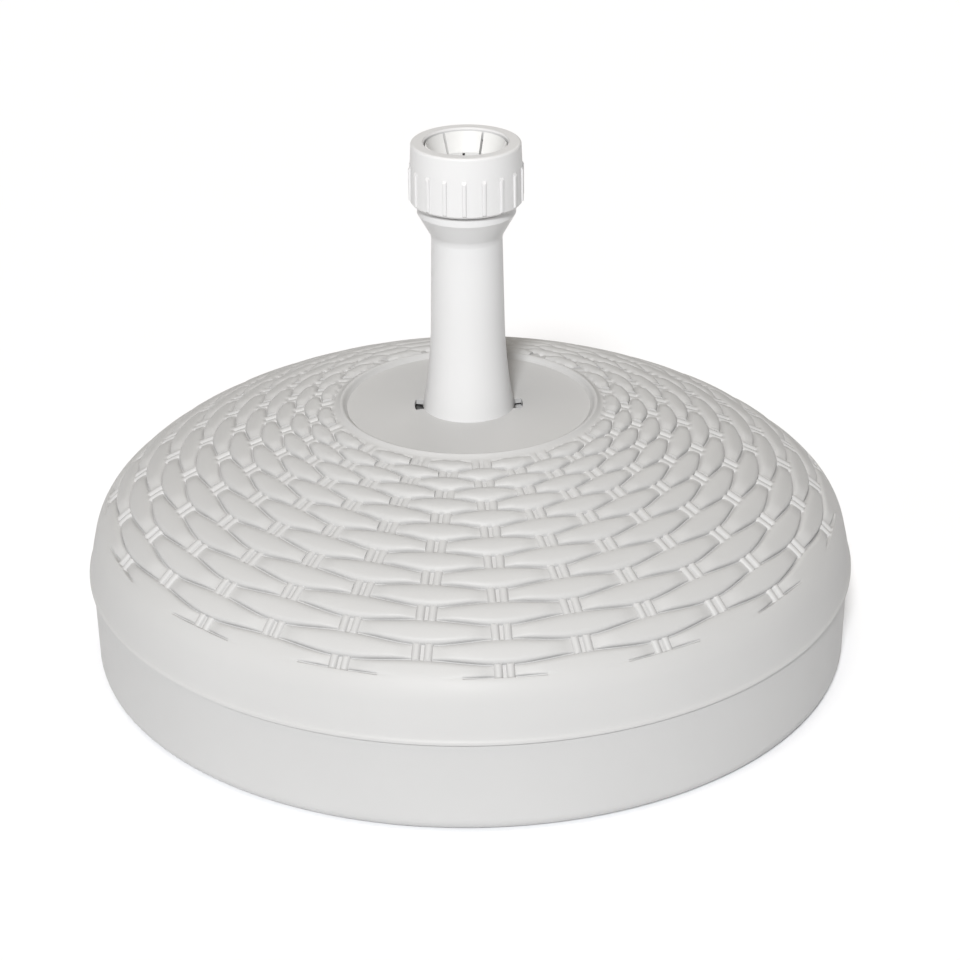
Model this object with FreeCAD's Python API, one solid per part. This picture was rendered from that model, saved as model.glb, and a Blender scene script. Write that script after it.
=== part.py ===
import FreeCAD, Part
import math
import os

"""Fillable parasol base: a round ballast shell in two halves, with an upright pole tube
that locks into a central socket and ends in a screw clamp. Millimetres, +Z up, and the
origin is at the centre of the underside. The frame's front is towards -Y."""

V = FreeCAD.Vector
ORIGIN = V(0, 0, 0)
UP = V(0, 0, 1)

# Ballast shells
LIP_R = 250.5  # the cover's overhanging lip, the widest part of the object
SEAM_Z = 61.6  # underside of the lip
SEAM_GAP = 0.6  # the shadow line between the lip and the tub's ledge
TUB_R = 248.0
WALL = 3.0
FLOOR_Z = 4.0  # underside of the floor inside the foot ring
FOOT_IN_R = 202.0
FOOT_OUT_R = 238.0
FLOOR_RIBS = 12
FLOOR_RIB_TOP = 11.0

# The dome rises from the lip as a leaning band, then three arcs, each tangent to the one before
BAND_LEAN = 13.0  # degrees from upright
BAND_LENGTH = 25.0
DOME_ARCS = ((34.3, 44.0), (140.0, 62.3), (454.0, 78.1))  # (radius, its end's tilt in degrees)

# Flat disc in the middle of the cover
DISC_R = 80.6
DISC_Z = 166.8
DISC_T = 3.5

# Pole tube and its bayonet
BORE_R = 19.25  # takes poles up to 38 mm
SLEEVE_R = 22.1
SPIGOT_R = 28.0
SPIGOT_Z = 150.0
FIN_R = 27.0
TUBE_FOOT_Z = 11.0
LUG_R = 34.4
LUG_HALF = 12.0  # degrees
LUG_Z = (157.0, 162.9)
NOTCH_R = 34.9
NOTCH_HALF = 14.0  # degrees
STOP_HALF = 4.0  # degrees
SOCKET_R = 30.4
CHAMBER_IN_R = 35.4
CHAMBER_R = 38.4
CHAMBER_Z = 153.0
SOCKET_SEAL_T = 2.0
SKIRT_R = (38.9, 41.4)
SKIRT_Z = 151.0
KEYS = 4
KEY_W = 6.0

# Pole clamp
SHAFT_R = 22.4  # the shaft where it is slimmest, just under its head
CONE_Z = (283.4, 298.7)  # the shaft widens into its head
BAND_R = 31.0
BAND_TOP = 304.5
NECK_R = 28.0
HEAD_TOP = 326.6
SEAT_R = 25.3
SEAT_Z = (286.0, 300.0)
NUT_Z = (305.6, 344.1)
SKIRT_DEPTH = 4.8  # the nut's foot slides down over the head's band
MOUTH_R = 26.1
NUT_RIBS = 18
RIB_W = 2.6
NUT_RIB_TURN = -92.2  # degrees, the first rib's place round the nut
COLLET_IN_R = 20.0
COLLAR_R = 25.3  # the fingers' tips, which stand inside the nut's mouth
COLLET_FINGERS = 6
COLLET_TURN = 4.0  # degrees, the first slot's place
SLOT_W = 1.6
CLAMP_PITCH = 5.0
CLAMP_THREAD_Z = 309.5  # where the tube's ridge starts

# Filler cap, on the disc behind the tube
FILLER_Y = 58.5
NECK_BORE_R = 14.4
NECK_OUT_R = 18.0
NECK_FOOT_Z = 152.0
CAP_R = 19.5
CAP_SEAL_T = 1.5
CAP_PITCH = 3.0
CAP_THREAD_Z = 155.0  # where the neck's ridge starts

BITE = 0.4  # how far a ridge is sunk into the wall that carries it


def outline(start, *steps):
    """A closed face in the XZ half plane. A step is a corner, or a (middle, end) pair for an arc."""
    edges = []
    here = start
    for step in steps:
        if isinstance(step[0], tuple):
            middle, end = step
            arc = Part.Arc(flat(here), flat(middle), flat(end))
            edges.append(arc.toShape())
        else:
            end = step
            edges.append(Part.LineSegment(flat(here), flat(end)).toShape())
        here = end
    edges.append(Part.LineSegment(flat(here), flat(start)).toShape())
    return Part.Face(Part.Wire(edges))


def flat(point):
    """The place in the XZ plane of a (radius, height) point."""
    return V(point[0], 0, point[1])


def turned(start, *steps):
    """A solid turned about the vertical axis from an outline."""
    return outline(start, *steps).revolve(ORIGIN, UP, 360)


def ring(inner, outer, low, high):
    """A plain ring, or a disc when inner is 0."""
    body = Part.makeCylinder(outer, high - low, V(0, 0, low))
    if inner:
        body = body.cut(Part.makeCylinder(inner, high - low, V(0, 0, low)))
    return body


def sector(inner, outer, low, high, middle, half):
    """A ring's sector, centred on an angle in degrees."""
    wedge = Part.makeCylinder(outer, high - low, V(0, 0, low), UP, 2 * half)
    core = Part.makeCylinder(inner, high - low, V(0, 0, low))
    piece = wedge.cut(core)
    piece.rotate(ORIGIN, UP, middle - half)
    return piece


def spoke(inner, outer, low, high, width, angle):
    """A radial bar from one radius to another."""
    bar = Part.makeBox(outer - inner, width, high - low, V(inner, -width / 2, low))
    bar.rotate(ORIGIN, UP, angle)
    return bar


def ridge(wall_r, crest_r, start_z, turns, pitch, base, crest):
    """One right-hand thread ridge, sunk a little into its wall. It points in when crest_r is the smaller."""
    out = math.copysign(1, crest_r - wall_r)
    path = Part.makeHelix(pitch, pitch * turns, wall_r)
    path.translate(V(0, 0, start_z))
    corners = [
        V(wall_r - out * BITE, 0, start_z - base / 2),
        V(crest_r, 0, start_z - crest / 2),
        V(crest_r, 0, start_z + crest / 2),
        V(wall_r - out * BITE, 0, start_z + base / 2),
    ]
    profile = Part.makePolygon(corners + corners[:1])
    return Part.Wire(path.Edges).makePipeShell([profile], True, True)


def on_circle(centre, radius, angle):
    """The (radius, height) point at an angle, in radians above level, on a circle."""
    return (centre[0] + radius * math.cos(angle), centre[1] + radius * math.sin(angle))


def dome(depth):
    """The dome's outline, moved inwards by a depth: the band's top, then each arc's (middle, end)."""
    lean = math.radians(BAND_LEAN)
    here = (
        LIP_R - BAND_LENGTH * math.sin(lean) - depth * math.cos(lean),
        SEAM_Z + BAND_LENGTH * math.cos(lean) - depth * math.sin(lean),
    )
    points = [here]
    for bend, tilt in DOME_ARCS:
        radius = bend - depth
        end = math.radians(tilt)
        centre = on_circle(here, -radius, lean)
        here = on_circle(centre, radius, end)
        points += [on_circle(centre, radius, (lean + end) / 2), here]
        lean = end
    return points


def base_tub():
    """The lower shell: foot ring, raised floor, wall, ledge under the lip and a tongue inside it."""
    ledge = SEAM_Z - SEAM_GAP
    tongue_r = 244.6
    tongue_top = ledge + 9.5
    wall_in = TUB_R - WALL
    floor_top = FLOOR_Z + WALL
    body = turned(
        (0, FLOOR_Z),
        (FOOT_IN_R - 4, FLOOR_Z),
        (FOOT_IN_R, 0),
        (FOOT_OUT_R, 0),
        ((244.3, 2.6), (247.0, 9.0)),
        (TUB_R, ledge),
        (tongue_r, ledge),
        (tongue_r, tongue_top),
        (tongue_r - 2.8, tongue_top),
        (tongue_r - 2.8, ledge - 3),
        (wall_in, ledge - 8),
        (wall_in - 1.0, 10.0),
        ((242.0, 5.0), (237.0, WALL)),
        (FOOT_IN_R + 1.5, WALL),
        (FOOT_IN_R - 2.5, floor_top),
        (0, floor_top),
    )
    locating_ring = ring(SOCKET_R + 0.5, SOCKET_R + 3.0, floor_top - BITE, floor_top + 9)
    ribs = [
        spoke(46, FOOT_IN_R - 6, floor_top - BITE, FLOOR_RIB_TOP, 2.4, 360 / FLOOR_RIBS * i)
        for i in range(FLOOR_RIBS)
    ]
    return body.fuse([locating_ring] + ribs).removeSplitter()


def top_cover():
    """The domed upper shell: lip, band, crown, sunk disc, bayonet hole, socket skirt and filler neck."""
    outer = dome(0)
    inner = dome(WALL)
    rim_in = LIP_R - 5.3
    disc_low = DISC_Z - DISC_T
    body = turned(
        (LIP_R, SEAM_Z),
        outer[0],
        (outer[1], outer[2]),
        (outer[3], outer[4]),
        (outer[5], outer[6]),
        (DISC_R + 0.6, outer[6][1] + 0.1),
        (DISC_R, outer[6][1] - 0.5),
        (DISC_R, DISC_Z),
        (0, DISC_Z),
        (0, disc_low),
        (DISC_R + 3.0, disc_low),
        inner[6],
        (inner[5], inner[4]),
        (inner[3], inner[2]),
        (inner[1], inner[0]),
        (rim_in, SEAM_Z + 10),
        (rim_in, SEAM_Z),
    )
    seal_groove = ring(246.0, 247.8, SEAM_Z, SEAM_Z + 2)
    hole = ring(0, SPIGOT_R + 0.5, disc_low - 1, DISC_Z + 1)
    notches = [sector(20, NOTCH_R, disc_low - 1, DISC_Z + 1, a, NOTCH_HALF) for a in (0, 180)]
    skirt = ring(SKIRT_R[0], SKIRT_R[1], SKIRT_Z, disc_low + BITE)
    key_slots = [
        spoke(SKIRT_R[0] - 1, SKIRT_R[1] + 1, SKIRT_Z - 1, SKIRT_Z + 9, KEY_W + 0.6, key_angle(i))
        for i in range(KEYS)
    ]
    neck = ring(0, NECK_OUT_R, NECK_FOOT_Z, disc_low + BITE)
    neck.translate(V(0, FILLER_Y, 0))
    neck_bore = ring(0, NECK_BORE_R, NECK_FOOT_Z - 1, DISC_Z + 1)
    neck_bore.translate(V(0, FILLER_Y, 0))
    neck_thread = ridge(NECK_BORE_R, NECK_BORE_R - 1.0, CAP_THREAD_Z, 2.0, CAP_PITCH, 1.5, 0.6)
    neck_thread.translate(V(0, FILLER_Y, 0))
    body = body.cut([seal_groove, hole] + notches)
    body = body.fuse([skirt.cut(key_slots), neck]).cut(neck_bore)
    return body.fuse(neck_thread).removeSplitter()


def key_angle(index):
    """The socket's keys stand between the notches, clear of the filler neck."""
    return 45 + 360 / KEYS * index


def tube_socket():
    """The watertight cup that holds the tube's spigot, with a wide chamber for the bayonet lugs."""
    bore = FIN_R + 0.4
    foot = FLOOR_Z + WALL
    rim = DISC_Z - DISC_T - SOCKET_SEAL_T
    body = turned(
        (0, foot),
        (SOCKET_R, foot),
        (SOCKET_R, CHAMBER_Z - 12),
        (CHAMBER_R, CHAMBER_Z - 4),
        (CHAMBER_R, rim),
        (CHAMBER_IN_R, rim),
        (CHAMBER_IN_R, CHAMBER_Z),
        (SPIGOT_R + 0.5, CHAMBER_Z),
        (SPIGOT_R + 0.5, SPIGOT_Z - 1),
        (bore, SPIGOT_Z - 3),
        (bore, TUBE_FOOT_Z - 0.5),
        (0, TUBE_FOOT_Z - 0.5),
    )
    gap = LUG_HALF + 1 + STOP_HALF
    stops = [
        sector(SPIGOT_R + 0.6, CHAMBER_IN_R + BITE, CHAMBER_Z - BITE, rim, angle, STOP_HALF)
        for angle in (90 - gap, 180 + gap, 270 - gap, 360 + gap)
    ]
    keys = [
        spoke(CHAMBER_R - BITE, SKIRT_R[1], SKIRT_Z, SKIRT_Z + 8, KEY_W, key_angle(i))
        for i in range(KEYS)
    ]
    return body.fuse(stops + keys).removeSplitter()


def socket_seal():
    """The flat ring pressed between the socket's rim and the underside of the disc."""
    top = DISC_Z - DISC_T
    return ring(CHAMBER_IN_R + 0.2, CHAMBER_R - 0.2, top - SOCKET_SEAL_T, top)


def rim_seal():
    """The ring in the lip's groove that closes the seam against the tub's ledge."""
    return ring(246.0, 247.8, SEAM_Z - SEAM_GAP, SEAM_Z + 2)


def stand_tube():
    """The upright tube: finned spigot, bayonet lugs, flared foot, slim shaft and threaded head."""
    body = turned(
        (0, TUBE_FOOT_Z),
        (SLEEVE_R, TUBE_FOOT_Z),
        (SLEEVE_R, SPIGOT_Z),
        (SPIGOT_R - WALL, SPIGOT_Z),
        (SPIGOT_R, SPIGOT_Z),
        (SPIGOT_R, DISC_Z),
        (29.5, DISC_Z),
        ((25.4, 194.0), (23.5, 225.0)),
        (SHAFT_R, CONE_Z[0] - 2.1),
        ((22.7, CONE_Z[0] - 0.1), (23.4, CONE_Z[0] + 1.8)),
        (BAND_R, CONE_Z[1]),
        (BAND_R, BAND_TOP - 0.8),
        (BAND_R - 0.8, BAND_TOP),
        (NECK_R, BAND_TOP),
        (NECK_R, HEAD_TOP),
        (SEAT_R + 0.6, HEAD_TOP),
        (SEAT_R, HEAD_TOP - 0.8),
        (SEAT_R, SEAT_Z[1]),
        (BORE_R, SEAT_Z[0]),
        (BORE_R, TUBE_FOOT_Z + WALL),
        (0, TUBE_FOOT_Z + WALL),
    )
    pocket = turned(
        (SLEEVE_R, SPIGOT_Z - 1),
        (SPIGOT_R - WALL, SPIGOT_Z - 1),
        (SPIGOT_R - WALL, DISC_Z),
        (SLEEVE_R, 186.0),
    )
    drain = ring(0, 5.0, TUBE_FOOT_Z - 1, TUBE_FOOT_Z + WALL + 1)
    fins = [
        spoke(SLEEVE_R - BITE, FIN_R, TUBE_FOOT_Z, SPIGOT_Z - 4, WALL, 30 + 60 * i)
        for i in range(6)
    ]
    webs = [
        spoke(SLEEVE_R - BITE, SPIGOT_R - WALL + BITE, SPIGOT_Z - 5, DISC_Z, WALL, 30 + 60 * i)
        for i in range(6)
    ]
    lugs = [
        sector(SPIGOT_R - 1, LUG_R, LUG_Z[0], LUG_Z[1], angle, LUG_HALF)
        for angle in (90, 270)
    ]
    thread = ridge(NECK_R, NECK_R + 1.6, CLAMP_THREAD_Z, 3.0, CLAMP_PITCH, 2.6, 1.2)
    body = body.cut([pocket, drain]).fuse(fins + webs + lugs).removeSplitter()
    return body.fuse(thread)


def clamp_collet():
    """The split sleeve that grips the pole, slotted in turn from both ends."""
    foot = 303.0
    shoulder = 332.6
    press = 336.2
    top = 342.6
    body = turned(
        (COLLET_IN_R, foot),
        (SEAT_R - 1.3, foot),
        (SEAT_R - 0.4, foot + 2),
        (SEAT_R - 0.4, shoulder),
        (27.6, shoulder),
        (27.6, press - 1.8),
        (COLLAR_R, press + 0.3),
        (COLLAR_R, top - 0.6),
        (COLLAR_R - 0.6, top),
        (COLLET_IN_R, press - 6),
    )
    pitch = 360 / COLLET_FINGERS
    top_slots = [
        spoke(COLLET_IN_R - 2, 29, foot + 6, top + 1, SLOT_W, COLLET_TURN + pitch * i)
        for i in range(COLLET_FINGERS)
    ]
    foot_slots = [
        spoke(COLLET_IN_R - 2, 29, foot - 1, shoulder - 3, SLOT_W, COLLET_TURN + pitch * (i + 0.5))
        for i in range(COLLET_FINGERS)
    ]
    return body.cut(top_slots + foot_slots)


def clamp_nut():
    """The ring nut: ribbed grip below, smooth collar above, coned lip that presses on the collet."""
    low, high = NUT_Z
    body = turned(
        (BAND_R + 0.5, low),
        (34.2, low),
        (35.2, low + 1.2),
        (34.9, high - 13.6),
        (34.4, high - 1.6),
        ((33.9, high - 0.5), (32.8, high)),
        (MOUTH_R + 0.9, high),
        (MOUTH_R, high - 1.0),
        (MOUTH_R, high - 6.9),
        (28.4, high - 9.1),
        (28.4, high - 12.6),
        (30.1, high - 12.6),
        (30.1, low + SKIRT_DEPTH),
        (BAND_R + 0.5, low + SKIRT_DEPTH),
    )
    rib_side = outline((34.0, low + 1.0), (36.2, low + 2.2), (36.2, high - 16.2), (34.0, high - 13.2))
    rib = rib_side.extrude(V(0, RIB_W, 0))
    rib.translate(V(0, -RIB_W / 2, 0))
    rib = rib.makeFillet(0.8, [e for e in rib.Edges if e.CenterOfMass.x > 36.1 and e.Length > 5])
    ribs = []
    for index in range(NUT_RIBS):
        turned_rib = rib.copy()
        turned_rib.rotate(ORIGIN, UP, NUT_RIB_TURN + 360 / NUT_RIBS * index)
        ribs.append(turned_rib)
    # The nut's ridge runs half a pitch away from the tube's, so the two mesh at rest.
    thread = ridge(30.1, 28.5, CLAMP_THREAD_Z + CLAMP_PITCH / 2, 2.0, CLAMP_PITCH, 2.6, 1.2)
    return body.fuse(ribs + [thread]).removeSplitter()


def filler_cap():
    """The screw cap over the filling hole: flat head, grip bar and a hollow threaded plug."""
    under = DISC_Z + CAP_SEAL_T
    plug_r = NECK_BORE_R - 1.4
    foot = 154.0
    body = turned(
        (plug_r - 2.2, foot),
        (plug_r, foot),
        (plug_r, under),
        (CAP_R, under),
        (CAP_R, under + 1.4),
        ((CAP_R - 0.5, under + 2.4), (CAP_R - 1.6, under + 2.8)),
        (0, under + 2.8),
        (0, under),
        (plug_r - 2.2, under),
    )
    bar = Part.makeBox(28, 5, 4.0, V(-14, -2.5, under + 2.4))
    bar = bar.makeFillet(1.5, [e for e in bar.Edges if e.BoundBox.ZMin > under + 6])
    # Half a pitch away from the neck's ridge.
    thread = ridge(plug_r, plug_r + 1.0, CAP_THREAD_Z + CAP_PITCH / 2, 2.0, CAP_PITCH, 1.5, 0.6)
    body = body.fuse([bar, thread]).removeSplitter()
    body.translate(V(0, FILLER_Y, 0))
    return body


def cap_seal():
    """The flat washer under the cap's head."""
    washer = ring(NECK_BORE_R + 0.4, CAP_R - 0.8, DISC_Z, DISC_Z + CAP_SEAL_T)
    washer.translate(V(0, FILLER_Y, 0))
    return washer


PIECES = [
    base_tub,
    top_cover,
    tube_socket,
    socket_seal,
    rim_seal,
    stand_tube,
    clamp_collet,
    clamp_nut,
    filler_cap,
    cap_seal,
]

os.makedirs("parts", exist_ok=True)
for make in PIECES:
    shape = make()
    shape.exportStep("parts/" + make.__name__ + ".step")
    print(make.__name__, shape.isValid(), len(shape.Solids), round(shape.Volume / 1000, 1))
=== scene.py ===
import math

import bpy
import numpy as np
from mathutils import Matrix, Vector


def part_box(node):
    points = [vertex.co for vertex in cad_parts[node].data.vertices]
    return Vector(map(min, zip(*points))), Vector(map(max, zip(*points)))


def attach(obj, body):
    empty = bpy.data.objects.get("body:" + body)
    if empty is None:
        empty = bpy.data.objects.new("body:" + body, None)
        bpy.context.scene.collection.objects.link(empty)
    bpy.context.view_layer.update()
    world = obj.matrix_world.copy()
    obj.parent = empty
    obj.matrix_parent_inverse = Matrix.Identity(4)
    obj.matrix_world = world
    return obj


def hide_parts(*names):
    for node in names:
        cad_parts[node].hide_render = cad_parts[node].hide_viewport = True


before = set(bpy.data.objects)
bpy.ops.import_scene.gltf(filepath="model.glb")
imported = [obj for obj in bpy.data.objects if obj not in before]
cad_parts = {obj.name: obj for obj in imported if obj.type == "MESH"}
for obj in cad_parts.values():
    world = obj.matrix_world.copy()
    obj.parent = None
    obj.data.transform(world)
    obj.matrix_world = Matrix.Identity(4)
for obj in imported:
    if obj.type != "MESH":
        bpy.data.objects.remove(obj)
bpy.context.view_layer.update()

# Fillable parasol base in white plastic. Outlines are in millimetres, as (radius, height)
# points about the upright axis; meshes are made in metres.
MM = 0.001

# ---------------------------------------------------------------- the cover's outline
LIP_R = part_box("top_cover")[1].x / MM
SEAM_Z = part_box("top_cover")[0].z / MM
BAND_LEAN = 13.0  # degrees from upright
BAND_LENGTH = 25.0
DOME_ARCS = ((34.3, 44.0), (140.0, 62.3), (454.0, 78.1))  # radius, and lean at the arc's end
DISC_R = 80.6
DISC_Z = 166.8
DISC_T = 3.5
DISC_FIT = 0.7  # how far inside DISC_R the disc's edge meets the cover's wall
HOLE_R = 28.5
NOTCH_IN = 20.0  # where the notches' cutters start, inside the hole
NOTCH_R = 34.9
NOTCH_HALF = 14.0  # degrees
NECK_R = 14.4
FILLER_Y = 58.5

# ---------------------------------------------------------------- the woven relief
SPOKES = 30
SPOKE_START = -97.3  # degrees, the first spoke's direction
ROWS = 15
WEAVE_FOOT = 41.0  # arc length from the seam to the outermost row
FIRST_ROW = 9.6  # the outermost row's width
ROW_PITCH = 12.9  # the second row's width
ROW_SHRINK = 0.03  # the rows after it are narrower, by this times 1, 4, 9 and so on
LAST_EDGE = 207.6  # arc length where the innermost row ends
WAVE = 2.0  # how far an edge between rows bows in and out
WAVE_GROWTH = (0.9, 2.6)  # it is reached over the first few edges
LAST_WAVE = 0.4  # the innermost edge bows by this share of it
GROOVE = 0.3  # half the gap between two rows
RELIEF = 3.3  # from the ground to the top of a strand
BAR_H = 2.2  # a spoke's bars, over the ground
BAR_X = 3.6  # a spoke is two bars, this far each side of its middle
BAR_HALF = 2.6  # half a bar's width
STRAND_END = 6.3  # where a strand starts, from the spoke's middle
STRAND_END_H = 0.9  # its height there
STRAND_RAMP = 12.0  # how far it takes to reach its full height
FULL_R = 230.0  # from here to the disc, bars get lower and strand ends shorter and fuller
BAR_FALL = 0.55  # the share of a bar's height lost at the disc
END_RISE = 1.3  # the height that a strand's end gains there
RAMP_FALL = 0.45  # the share of its ramp lost there
# A strand's rounded edges, as shares of its row, at FULL_R and at the disc; then the places of
# the mesh lines across them
OUTER_ROUND = (0.20, 0.36)
INNER_ROUND = (0.40, 0.62)
OUTER_STEPS = (0.0, 0.1, 0.3, 0.6, 1.0)
INNER_STEPS = (1.0, 0.65, 0.35, 0.12, 0.0)
BAND_FADE = (8.0, 20.0)  # the outermost groove fades from 8 mm beside a spoke, over 20 mm
BAND_EDGE = ((1.6, 0.0), (0.6, 0.35))  # outwards from that groove, and depth

# ---------------------------------------------------------------- the lip and the rim
LIP_T = 5.3  # the lip's thickness at the seam
LIP_INSIDE = ((0.0, 10.0), (0.0, 0.5), (0.5, 0.0))  # outwards from the lip's inside, and up
LIP_UNDER = ((1.5, 0.0), (0.8, 0.15), (0.35, 0.6))  # inwards and up from the lip's corner
LIP_BEAD = (  # arc length from the seam, and depth: a slight bead along the lip's edge
    (1.5, 0.0),
    (2.2, 0.0),
    (2.7, 0.15),
    (3.4, 0.5),
    (4.4, 0.6),
    (8.0, 0.4),
    (12.0, 0.15),
    (16.0, 0.0),
)
RIM_FLANK = (  # beyond the last edge, and below the dome's outline
    (1.1, 2.6),
    (2.2, 2.6),
    (3.0, 2.4),
    (3.8, 2.1),
    (4.6, 1.75),
    (5.4, 1.2),
    (5.9, 1.05),
)
RIM_SLOPE = (  # inwards and down from the inner end of the dome's outline
    (0.6, 1.05),
    (1.3, 1.2),
    (2.0, 1.6),
    (2.6, 2.3),
    (3.2, 3.1),
    (3.9, 3.75),
)
RIM_TOE = (  # inwards from DISC_R, and up from the disc's face
    (2.1, 0.1),
    (2.4, -0.5),
    (DISC_FIT, -0.5),
    (DISC_FIT, -DISC_T),
)
BACKING = 2.0  # the cover's wall behind the deepest part of the relief
BAND_RINGS = 10  # mesh rings on the band, and on the cover's inside
INSIDE_RINGS = 20

# Mesh columns beside each spoke: in mm from its middle, then as shares of what is left of the
# way to the point halfway to the next spoke
NEAR_COLUMNS = (0.6, 1.0, 1.5, 2.4, 3.6, 4.8, 5.6, 6.1, STRAND_END)
FAR_COLUMNS = (0.12, 0.3, 0.6, 1.0)
SHARP = math.radians(35)  # edges bent more than this are shaded as creases


def smooth(t):
    """0 to 1 with level ends."""
    t = np.clip(t, 0.0, 1.0)
    return t * t * (3 - 2 * t)


def dome_line(step=0.25):
    """Arc length, radius, height and tilt of the dome's outline, from the lip to the disc."""
    tilt = [math.radians(BAND_LEAN)] * 2
    arc = [0.0, BAND_LENGTH]
    for bend, end in DOME_ARCS:
        length = bend * (math.radians(end) - tilt[-1])
        arc.append(arc[-1] + length)
        tilt.append(math.radians(end))
    s = np.arange(0, arc[-1] + step, step)
    lean = np.interp(s, arc, tilt)
    radius = LIP_R - np.concatenate([[0], np.cumsum(np.sin(lean[1:]) * step)])
    height = SEAM_Z + np.concatenate([[0], np.cumsum(np.cos(lean[1:]) * step)])
    return s, radius, height, lean


def row_edges():
    """Arc lengths of the edges between rows, from the outermost inwards."""
    edges = [WEAVE_FOOT, WEAVE_FOOT + FIRST_ROW]
    second = WEAVE_FOOT + FIRST_ROW + ROW_PITCH
    for j in range(ROWS - 1):
        edges.append(second)
        second += ROW_PITCH - ROW_SHRINK * (j + 1) ** 2
    edges[-1] = LAST_EDGE
    return edges


class Columns:
    """The mesh's columns round the cover: close together at each spoke's two bars."""

    def __init__(self):
        count = len(NEAR_COLUMNS) + len(FAR_COLUMNS)
        side = list(range(-count, count))
        self.local = np.tile(side, SPOKES)
        self.spoke = np.repeat(np.arange(SPOKES), len(side))

    def offset(self, radius):
        """Each column's distance in mm from its spoke, round the circle."""
        half = radius * math.radians(180 / SPOKES)
        rest = half - NEAR_COLUMNS[-1]
        places = [0.0] + list(NEAR_COLUMNS) + [NEAR_COLUMNS[-1] + f * rest for f in FAR_COLUMNS]
        return np.sign(self.local) * np.array(places)[np.abs(self.local)]

    def angle(self, radius):
        step = math.radians(360 / SPOKES)
        return math.radians(SPOKE_START) + self.spoke * step + self.offset(radius) / radius

    def to_bars(self, radius, row):
        """Distance in mm to the nearest spoke that shows its bars in this row."""
        near = np.abs(self.offset(radius))
        shows = (self.spoke + row) % 2 == 1
        return np.where(shows, near, self.period(radius) - near)

    @staticmethod
    def period(radius):
        return radius * math.radians(360 / SPOKES)


def bars(x, inward):
    """Height of a spoke's two rounded bars at a distance from its middle."""
    t = (np.abs(x) - BAR_X) / BAR_HALF
    return BAR_H * (1 - BAR_FALL * inward) * np.sqrt(np.clip(1 - t * t, 0, 1))


def strand(away, inward):
    """Height of a strand at a distance from the bars it ducks under."""
    end = STRAND_END_H + END_RISE * inward
    ramp = STRAND_RAMP * (1 - RAMP_FALL * inward)
    top = end + (RELIEF - end) * smooth((away - STRAND_END) / ramp)
    return np.where(away < STRAND_END - 0.1, 0.0, top)


def edge_bow(index, columns, radius):
    """How far each column of an edge bows inwards, where the row outside it passes over."""
    away = columns.to_bars(radius, index - 1)
    size = WAVE * float(smooth((index + WAVE_GROWTH[0]) / WAVE_GROWTH[1]))
    if index == ROWS:
        size *= LAST_WAVE
    return -size * np.cos(math.pi * away / columns.period(radius))


def weave_lines(columns, s, radius):
    """The relief as mesh lines: for each, the arc length and height of every column."""
    edges = row_edges()
    lines = []
    for row in range(ROWS):
        r = float(np.interp((edges[row] + edges[row + 1]) / 2, s, radius))
        away = columns.to_bars(r, row)
        inward = (FULL_R - r) / (FULL_R - DISC_R)
        over = strand(away, inward)
        ground = bars(columns.offset(r), inward)
        outer_round = float(np.interp(inward, (0, 1), OUTER_ROUND))
        inner_round = float(np.interp(inward, (0, 1), INNER_ROUND))
        under = np.where(away < columns.period(r) / 2, ground, 0.0)
        foot = edges[row] + edge_bow(row, columns, r) + GROOVE
        tall = edges[row + 1] + edge_bow(row + 1, columns, r) - GROOVE - foot
        cut = np.ones_like(away)
        if row == 0:
            cut = 1 - smooth((away - BAND_FADE[0]) / BAND_FADE[1])
            for outwards, depth in BAND_EDGE:
                lines.append((foot - 2 * GROOVE - outwards, RELIEF - depth * cut))
            lines.append((foot - 2 * GROOVE, RELIEF + (ground - RELIEF) * cut))
        for t in OUTER_STEPS:
            share = math.sqrt(1 - (1 - t) ** 2)
            body = np.maximum(over * share, ground if t == 0 else under)
            lines.append((foot + tall * outer_round * t, RELIEF + (body - RELIEF) * cut))
        for t in INNER_STEPS:
            share = math.sqrt(1 - (1 - t) ** 2)
            body = np.maximum(over * share, ground if t == 0 else under)
            lines.append((foot + tall * (1 - inner_round * t), body))
    return lines


def skin(rings):
    """Points and quads of a closed surface through rings of points, each the same number round."""
    count = len(rings[0])
    points = np.concatenate(rings)
    here = np.arange(count)
    after = (here + 1) % count
    quads = []
    for j in range(len(rings)):
        a = j * count
        b = ((j + 1) % len(rings)) * count
        quads.append(np.stack([a + here, a + after, b + after, b + here], axis=1))
    return points, np.concatenate(quads)


def ring_points(angle, radius, height):
    """A ring of points in metres."""
    radius = np.broadcast_to(radius, angle.shape)
    height = np.broadcast_to(height, angle.shape)
    return np.stack([radius * np.cos(angle), radius * np.sin(angle), height], axis=1) * MM


def mesh_of(name, points, faces):
    """A mesh from arrays or lists of points and faces."""
    mesh = bpy.data.meshes.new(name)
    mesh.from_pydata([tuple(p) for p in points], [], [tuple(int(i) for i in f) for f in faces])
    return mesh


def piece(name, points, faces, body, node, material):
    """A mesh piece that rides on a body, stands for a CAD node and takes a slot's finish."""
    mesh = mesh_of(name, points, faces)
    mesh.validate()
    mesh.shade_smooth()
    mesh.set_sharp_from_angle(angle=SHARP)
    obj = bpy.data.objects.new(name, mesh)
    bpy.context.scene.collection.objects.link(obj)
    mesh.materials.append(material)
    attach(obj, body)
    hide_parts(node)
    return obj


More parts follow.
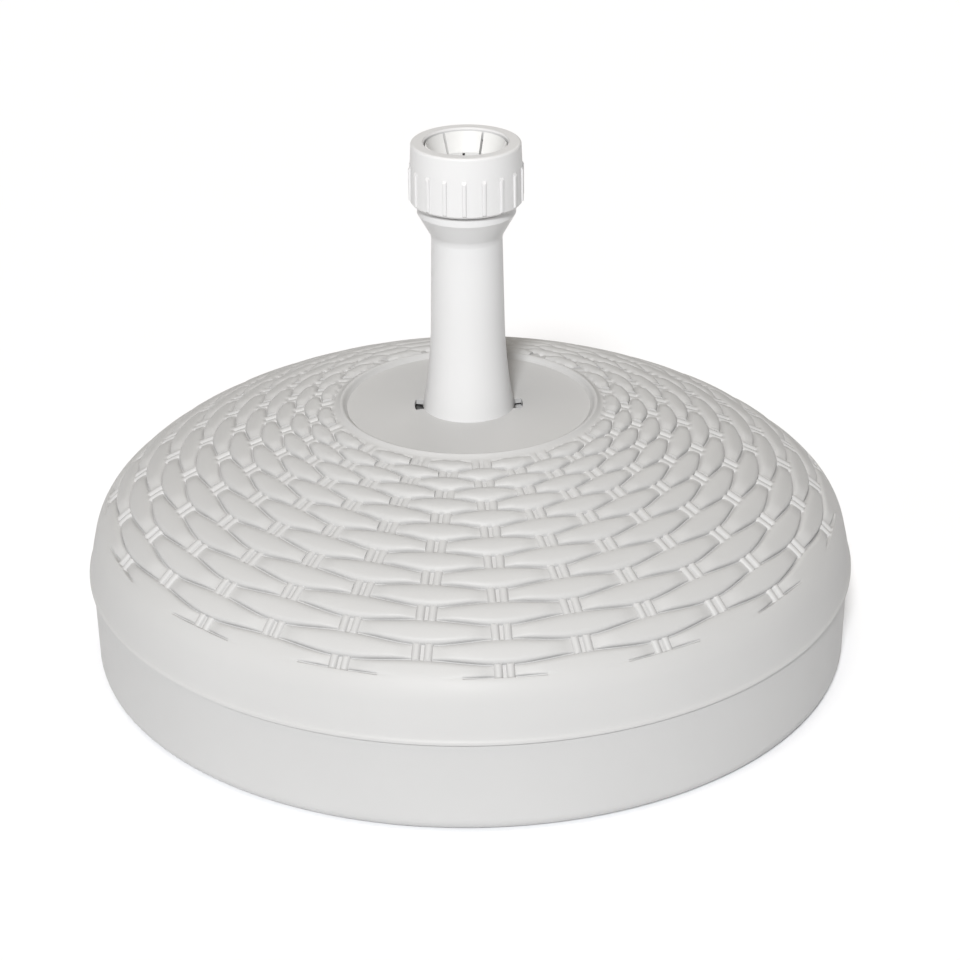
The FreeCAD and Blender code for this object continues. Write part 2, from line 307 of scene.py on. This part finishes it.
def woven_cover(material):
    """The domed cover outside the disc: lip, band, woven relief, rim and the plain inside."""
    s, radius, height, lean = dome_line()
    columns = Columns()
    rings = []

    def on_dome(at, lift):
        """A ring at an arc length, lifted from the outline; both can differ between columns."""
        r = np.interp(at, s, radius)
        z = np.interp(at, s, height)
        t = np.interp(at, s, lean)
        angle = columns.angle(float(np.interp(np.mean(at), s, radius)))
        rings.append(ring_points(angle, r + lift * np.cos(t), z + lift * np.sin(t)))

    def plain(r, z):
        """A level ring."""
        rings.append(ring_points(columns.angle(r), r, z))

    for outwards, rise in LIP_INSIDE:
        plain(LIP_R - LIP_T + outwards, SEAM_Z + rise)
    for inwards, rise in LIP_UNDER:
        plain(LIP_R - inwards, SEAM_Z + rise)
    for at, depth in LIP_BEAD:
        on_dome(at, -depth)
    for at in np.linspace(LIP_BEAD[-1][0] + 2.0, WEAVE_FOOT - 4.0, BAND_RINGS):
        on_dome(at, 0.0)
    for at, h in weave_lines(columns, s, radius):
        on_dome(at, h - RELIEF)
    for at, depth in RIM_FLANK:
        on_dome(LAST_EDGE + at, -depth)
    for inwards, drop in RIM_SLOPE:
        plain(radius[-1] - inwards, height[-1] - drop)
    for inwards, rise in RIM_TOE:
        plain(DISC_R - inwards, DISC_Z + rise)
    for at in np.linspace(s[-1] - 4, BAND_LENGTH - 6, INSIDE_RINGS):
        on_dome(at, -(RELIEF + BACKING))
    points, quads = skin(rings)
    piece("woven_cover", points, quads, "base", "top_cover", material)


# ---------------------------------------------------------------- materials
def plastic(name, colour, shade, roughness, grain, grain_depth, ripple_depth):
    """Moulded plastic: a faint drift of tone, uneven gloss, fine mould grain and soft ripples."""
    material = bpy.data.materials.new(name)
    material.use_nodes = True
    nodes = material.node_tree.nodes
    links = material.node_tree.links
    shader = nodes["Principled BSDF"]
    shader.inputs["IOR"].default_value = 1.49
    shader.inputs["Specular IOR Level"].default_value = 0.22
    place = nodes.new("ShaderNodeTexCoord")

    def noise(scale, detail, rough=0.5):
        node = nodes.new("ShaderNodeTexNoise")
        node.inputs["Scale"].default_value = scale
        node.inputs["Detail"].default_value = detail
        node.inputs["Roughness"].default_value = rough
        links.new(place.outputs["Object"], node.inputs["Vector"])
        return node

    drift = noise(9.0, 4.0)
    ramp = nodes.new("ShaderNodeValToRGB")
    ramp.color_ramp.elements[0].position = 0.3
    ramp.color_ramp.elements[0].color = (*[c * shade for c in colour], 1)
    ramp.color_ramp.elements[1].position = 0.7
    ramp.color_ramp.elements[1].color = (*colour, 1)
    links.new(drift.outputs["Fac"], ramp.inputs["Fac"])
    links.new(ramp.outputs["Color"], shader.inputs["Base Color"])

    gloss = noise(60.0, 5.0, 0.6)
    spread = nodes.new("ShaderNodeMapRange")
    spread.inputs["To Min"].default_value = roughness - 0.06
    spread.inputs["To Max"].default_value = roughness + 0.08
    links.new(gloss.outputs["Fac"], spread.inputs["Value"])
    links.new(spread.outputs["Result"], shader.inputs["Roughness"])

    fine = noise(grain, 3.0, 0.6)
    ripple = noise(45.0, 2.0)
    low = nodes.new("ShaderNodeBump")
    low.inputs["Distance"].default_value = ripple_depth
    low.inputs["Strength"].default_value = 1.0
    links.new(ripple.outputs["Fac"], low.inputs["Height"])
    high = nodes.new("ShaderNodeBump")
    high.inputs["Distance"].default_value = grain_depth
    high.inputs["Strength"].default_value = 1.0
    links.new(fine.outputs["Fac"], high.inputs["Height"])
    links.new(low.outputs["Normal"], high.inputs["Normal"])
    links.new(high.outputs["Normal"], shader.inputs["Normal"])
    return material


SHELL_WHITE = (0.485, 0.485, 0.482)
TUBE_WHITE = (0.63, 0.63, 0.63)
shell = plastic("shell_plastic", SHELL_WHITE, 0.97, 0.46, 1400, 0.00005, 0.00015)
tube = plastic("tube_plastic", TUBE_WHITE, 0.98, 0.30, 1800, 0.00002, 0.0001)
nut = plastic("nut_plastic", TUBE_WHITE, 0.98, 0.34, 1500, 0.00003, 0.0001)
collet = plastic("collet_plastic", (0.72, 0.72, 0.71), 0.98, 0.38, 1500, 0.00002, 0.00005)
rubber = plastic("seal_rubber", (0.03, 0.03, 0.03), 0.8, 0.65, 1500, 0.00005, 0.00005)


def dress(node, material):
    """Gives a CAD node's own mesh a better material."""
    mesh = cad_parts[node].data
    mesh.materials.clear()
    mesh.materials.append(material)


dress("base_tub", shell)
dress("tube_socket", shell)
dress("stand_tube", tube)
dress("clamp_nut", nut)
dress("clamp_collet", collet)
dress("filler_cap", shell)
for seal in ("socket_seal", "rim_seal", "cap_seal"):
    dress(seal, rubber)

woven_cover(shell)


# ---------------------------------------------------------------- the disc
def lathe(outline, count):
    """A closed turned solid."""
    angle = np.linspace(0, 2 * math.pi, count, endpoint=False)
    return skin([ring_points(angle, r, z) for r, z in outline])


def tool(points, faces):
    """A solid for cutting, which is removed again after the cut."""
    obj = bpy.data.objects.new("cutter", mesh_of("cutter", points, faces))
    bpy.context.scene.collection.objects.link(obj)
    return obj


def block(angle, inner, outer, half, low, high, steps=12):
    """A ring's sector as points and faces; angle and half are in degrees."""
    turns = np.radians(np.linspace(angle - half, angle + half, steps + 1))
    corners = [(inner, low), (outer, low), (outer, high), (inner, high)]
    points = np.concatenate([ring_points(turns, r, z) for r, z in corners])
    n = steps + 1
    faces = []
    for c in range(4):
        d = (c + 1) % 4
        for i in range(steps):
            faces.append((c * n + i, c * n + i + 1, d * n + i + 1, d * n + i))
    faces.append((0, n, 2 * n, 3 * n))
    faces.append((3 * n + steps, 2 * n + steps, n + steps, steps))
    return points, faces


def plug(x, y, radius, low, high, count=96):
    """An upright cylinder as points and faces."""
    turns = np.linspace(0, 2 * math.pi, count, endpoint=False)
    ring = [(x + radius * math.cos(t), y + radius * math.sin(t)) for t in turns]
    points = [(a * MM, b * MM, z * MM) for z in (low, high) for a, b in ring]
    faces = [tuple(reversed(range(count))), tuple(range(count, 2 * count))]
    for i in range(count):
        j = (i + 1) % count
        faces.append((i, j, count + j, count + i))
    return points, faces


def cover_disc(material):
    """The sunk disc with the tube's hole, the two bayonet notches and the filling hole."""
    low = DISC_Z - DISC_T
    edge_r = DISC_R - DISC_FIT
    outline = [(HOLE_R, low), (edge_r, low), (edge_r, DISC_Z), (HOLE_R, DISC_Z)]
    points, faces = lathe(outline, 240)
    obj = piece("cover_disc", points, faces, "base", "top_cover", material)
    span = (low - 1, DISC_Z + 1)
    cutters = [tool(*block(a, NOTCH_IN, NOTCH_R, NOTCH_HALF, *span)) for a in (0, 180)]
    cutters.append(tool(*plug(0, FILLER_Y, NECK_R, *span)))
    for cutter in cutters:
        cut = obj.modifiers.new("cut", "BOOLEAN")
        cut.object = cutter
        cut.solver = "EXACT"
    shaped = bpy.data.meshes.new_from_object(
        obj.evaluated_get(bpy.context.evaluated_depsgraph_get())
    )
    obj.modifiers.clear()
    obj.data = shaped
    for cutter in cutters:
        bpy.data.objects.remove(cutter)
    shaped.shade_smooth()
    shaped.set_sharp_from_angle(angle=SHARP)
    edge = obj.modifiers.new("edge", "BEVEL")
    edge.width = 0.5 * MM
    edge.segments = 3
    edge.limit_method = "ANGLE"
    edge.angle_limit = math.radians(40)


cover_disc(shell)

# ---------------------------------------------------------------- floor, light and camera
floor_mesh = bpy.data.meshes.new("floor")
FLOOR_HALF = 30.0
signs = ((-1, -1), (1, -1), (1, 1), (-1, 1))
floor_corners = [(x * FLOOR_HALF, y * FLOOR_HALF, 0) for x, y in signs]
floor_mesh.from_pydata(floor_corners, [], [(0, 1, 2, 3)])
floor = bpy.data.objects.new("floor", floor_mesh)
bpy.context.scene.collection.objects.link(floor)
pale = bpy.data.materials.new("floor_paper")
pale.use_nodes = True
paper = pale.node_tree.nodes["Principled BSDF"]
paper.inputs["Base Color"].default_value = (0.89, 0.897, 0.912, 1)
paper.inputs["Roughness"].default_value = 0.9
paper.inputs["Specular IOR Level"].default_value = 0.0
floor_mesh.materials.append(pale)


def sunlight(name, azimuth, elevation, spread, strength, colour):
    """A distant soft source; azimuth counts from the front, positive to the right."""
    data = bpy.data.lights.new(name, "SUN")
    data.energy = strength
    data.angle = math.radians(spread)
    data.color = colour
    obj = bpy.data.objects.new(name, data)
    turn_by = math.radians(azimuth)
    lift = math.radians(elevation)
    source = Vector(
        (math.sin(turn_by) * math.cos(lift), -math.cos(turn_by) * math.cos(lift), math.sin(lift))
    )
    obj.rotation_euler = source.to_track_quat("Z", "Y").to_euler()
    bpy.context.scene.collection.objects.link(obj)


sunlight("key_light", -8, 38, 10, 3.55, (0.985, 0.99, 1.0))
sunlight("top_light", -20, 80, 40, 0.9, (1.0, 0.93, 0.84))
sunlight("side_light", -80, 20, 30, 0.12, (1.0, 0.98, 0.95))
sunlight("back_light", 165, 35, 30, 0.35, (1.0, 0.97, 0.93))
world = bpy.data.worlds.new("studio")
bpy.context.scene.world = world
world.use_nodes = True
sky = world.node_tree.nodes["Background"]
sky.inputs["Color"].default_value = (1.0, 0.96, 0.91, 1)
sky.inputs["Strength"].default_value = 0.10
bpy.context.scene.view_settings.view_transform = "Standard"

CAMERA_AT = (0, -1.5653, 0.8674)
PITCH = math.radians(25.76)
YAW = math.radians(0.25)
ROLL = math.radians(-0.52)
camera_data = bpy.data.cameras.new("camera")
camera_data.sensor_width = 36.0
camera_data.lens = 99.58
camera_data.clip_end = 200.0
camera = bpy.data.objects.new("camera", camera_data)
bpy.context.scene.collection.objects.link(camera)
bpy.context.scene.camera = camera
ahead = Vector(
    (math.sin(YAW) * math.cos(PITCH), math.cos(YAW) * math.cos(PITCH), -math.sin(PITCH))
)
level = Vector((math.cos(YAW), -math.sin(YAW), 0))
above = level.cross(ahead)
right = level * math.cos(ROLL) + above * math.sin(ROLL)
up = above * math.cos(ROLL) - level * math.sin(ROLL)
turn = Matrix((right, up, -ahead)).transposed()
camera.matrix_world = Matrix.Translation(CAMERA_AT) @ turn.to_4x4()
